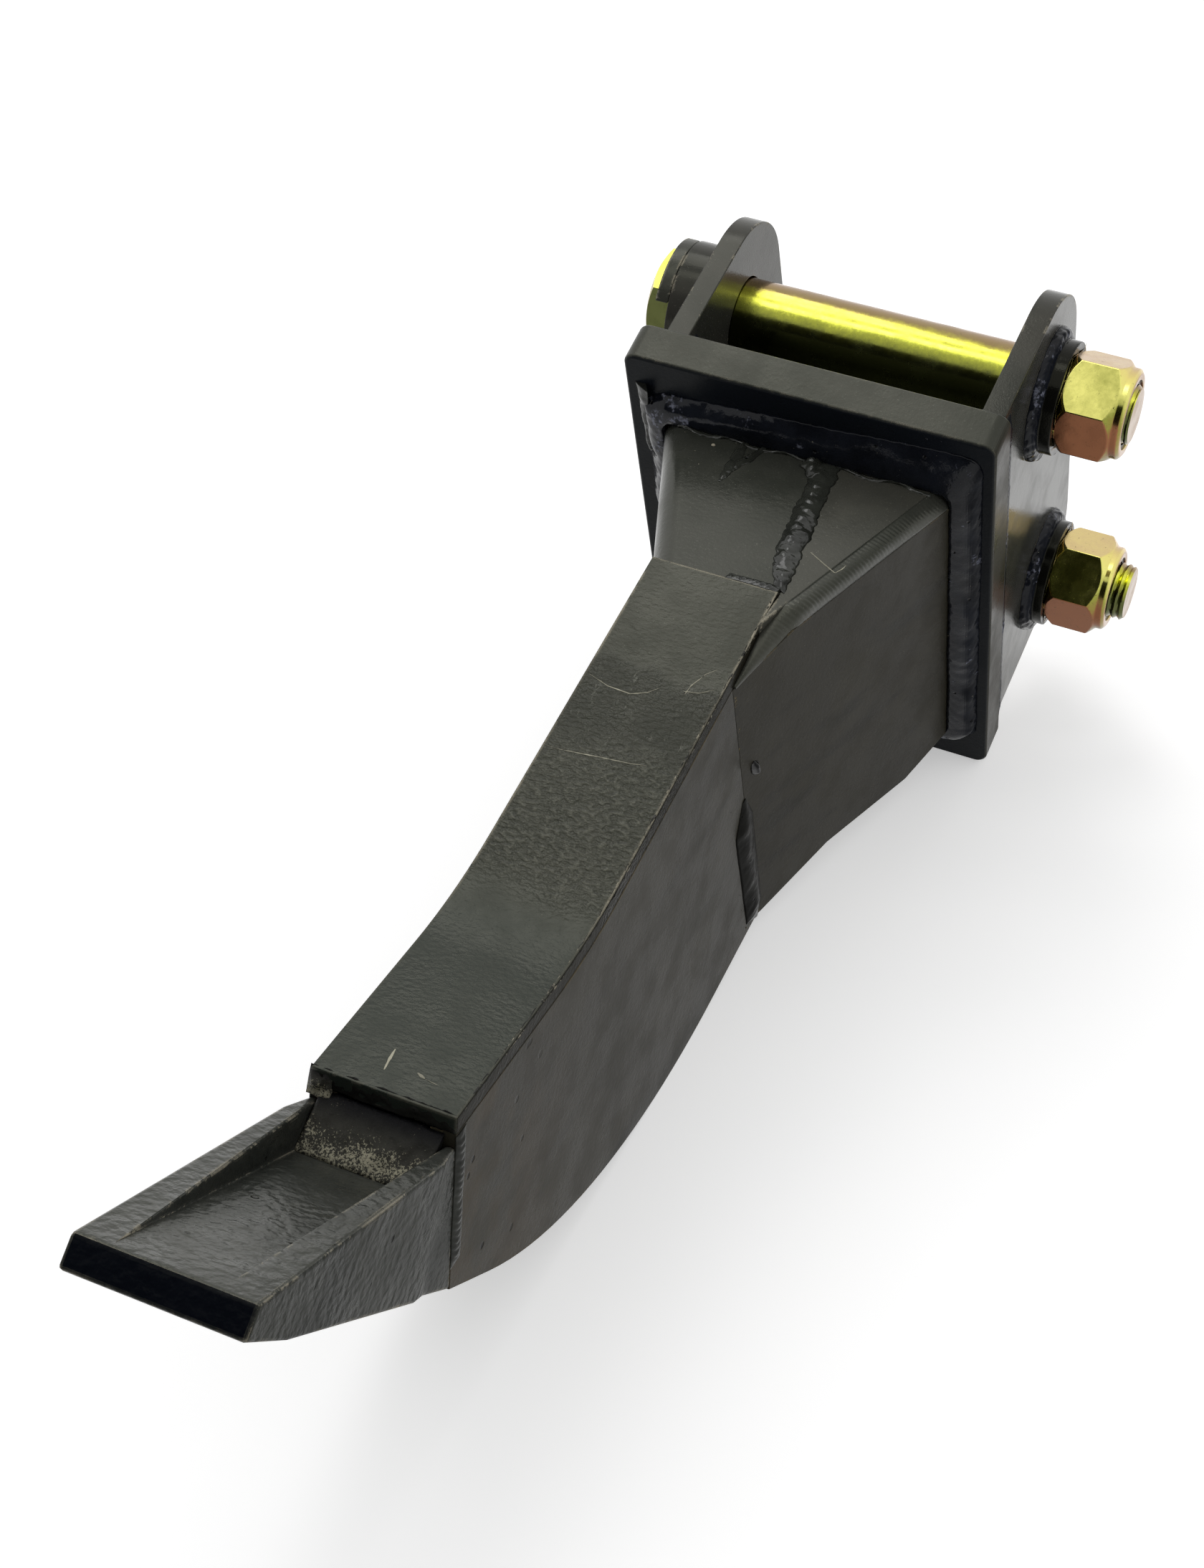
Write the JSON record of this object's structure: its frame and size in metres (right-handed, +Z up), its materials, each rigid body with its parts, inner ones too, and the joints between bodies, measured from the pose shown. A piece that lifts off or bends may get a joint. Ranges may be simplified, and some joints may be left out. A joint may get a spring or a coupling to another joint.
{
  "type": "ripper tooth for a mini digger",
  "caption": "Pin-on ripper tooth: pinned mounting head, welded housing, curved box-section shank and cast point with a pocket.",
  "frame": {"origin": "middle of the footprint, on the floor the tool lies on", "axes": "+X towards the point, +Y towards the nuts, +Z up; the mounting plate leans back by the angle at which the tool rests"},
  "size_m": [0.5672, 0.1844, 0.1973],
  "materials": {
    "paint": "gloss dark grey-green paint, orange peel",
    "weld_paint": "painted weld metal, rippled",
    "cast_paint": "painted casting, pebbled",
    "yellow_plating": "yellow passivated zinc",
    "nylon": "black nylon"
  },
  "bodies": {
    "root": {"mounting_plate": "paint", "left_ear": "paint", "right_ear": "paint", "left_ear_welds": "weld_paint", "right_ear_welds": "weld_paint", "nuts": "yellow_plating", "nylon_rings": "nylon", "upper_keeper": "paint", "upper_pin_bolt": "yellow_plating", "lower_keeper": "paint", "lower_pin_bolt": "yellow_plating", "hood_plate": "paint", "hood_corner_plate": "paint", "right_side_plate": "paint", "back_cover_plate": "paint", "shank_left_side": "paint", "shank_right_side": "paint", "shank_front_plate": "paint", "shank_back_plate": "paint", "plate_weld": "weld_paint", "hood_corner_weld": "weld_paint", "hood_seam_weld": "weld_paint", "side_plate_weld": "weld_paint", "hood_end_weld": "weld_paint", "tip_point": "cast_paint", "tip_weld": "weld_paint", "tip_seam_welds": "weld_paint"}
  },
  "joints": []
}
